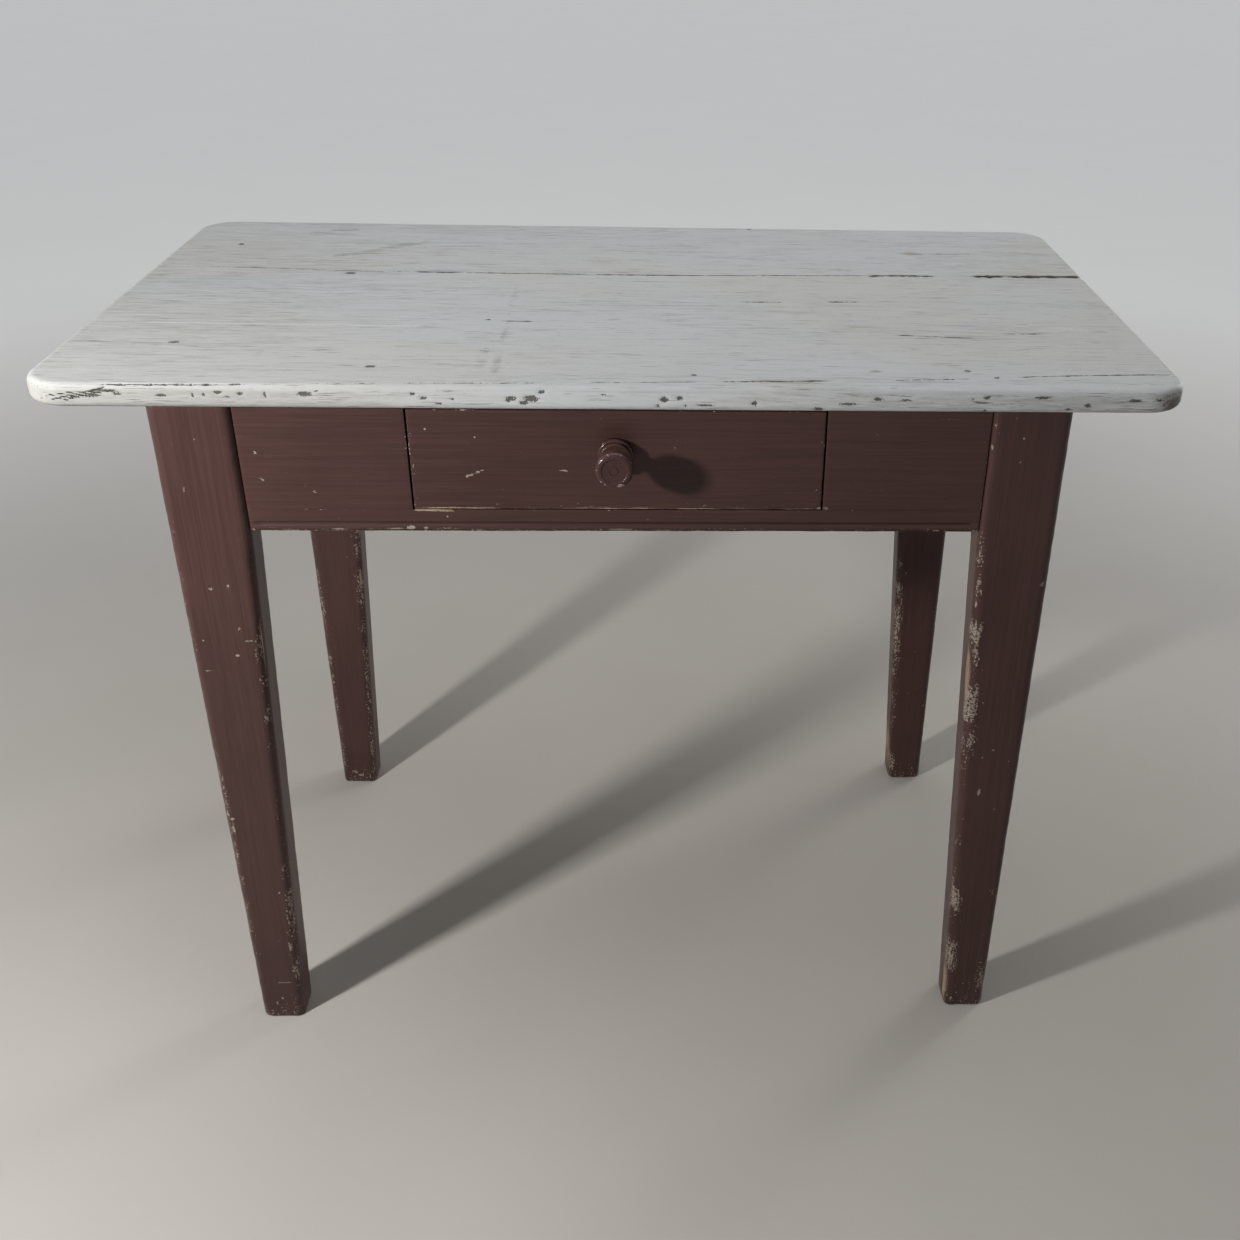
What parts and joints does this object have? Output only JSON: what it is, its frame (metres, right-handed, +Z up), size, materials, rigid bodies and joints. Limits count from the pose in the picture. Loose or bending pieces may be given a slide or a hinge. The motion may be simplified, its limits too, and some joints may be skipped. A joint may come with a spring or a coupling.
{
  "type": "kitchen table with drawer",
  "caption": "Old painted wooden kitchen table with a worn white plank top, red-brown tapered legs and aprons, and a front drawer with a turned knob that slides out.",
  "frame": {"origin": "on the floor, under the middle of the object's overall box", "axes": "+X to the right along the table, +Y from the drawer to the back, +Z up"},
  "size_m": [1.05, 0.616, 0.77],
  "materials": {
    "white_paint": "worn white paint",
    "brown_paint": "satin brown paint",
    "bare_wood": "bare planed pine",
    "steel": "dull"
  },
  "bodies": {
    "table": {"apron_back": "brown_paint", "apron_front_left": "brown_paint", "apron_front_right": "brown_paint", "apron_left": "brown_paint", "apron_right": "brown_paint", "block_screws": "steel", "drawer_guide_left": "bare_wood", "drawer_guide_right": "bare_wood", "drawer_rail": "brown_paint", "drawer_runner_left": "bare_wood", "drawer_runner_right": "bare_wood", "drawer_stop_left": "bare_wood", "drawer_stop_right": "bare_wood", "fixing_block_back_left": "bare_wood", "fixing_block_back_right": "bare_wood", "fixing_block_left_back": "bare_wood", "fixing_block_left_front": "bare_wood", "fixing_block_left_middle": "bare_wood", "fixing_block_right_back": "bare_wood", "fixing_block_right_front": "bare_wood", "fixing_block_right_middle": "bare_wood", "guide_nails": "steel", "leg_back_left": "brown_paint", "leg_back_right": "brown_paint", "leg_front_left": "brown_paint", "leg_front_right": "brown_paint", "top_board_back": "white_paint", "top_board_front": "white_paint", "top_dowels": "bare_wood"},
    "drawer": {"drawer_back": "bare_wood", "drawer_bottom": "bare_wood", "drawer_front": "brown_paint", "drawer_nails": "steel", "drawer_side_left": "bare_wood", "drawer_side_right": "bare_wood", "knob": "brown_paint", "knob_wedge": "bare_wood"}
  },
  "joints": [
    {"name": "drawer_slide", "type": "slide", "parent": "table", "child": "drawer", "axis": [0, -1, 0], "range_m": [0, 0.3]}
  ]
}
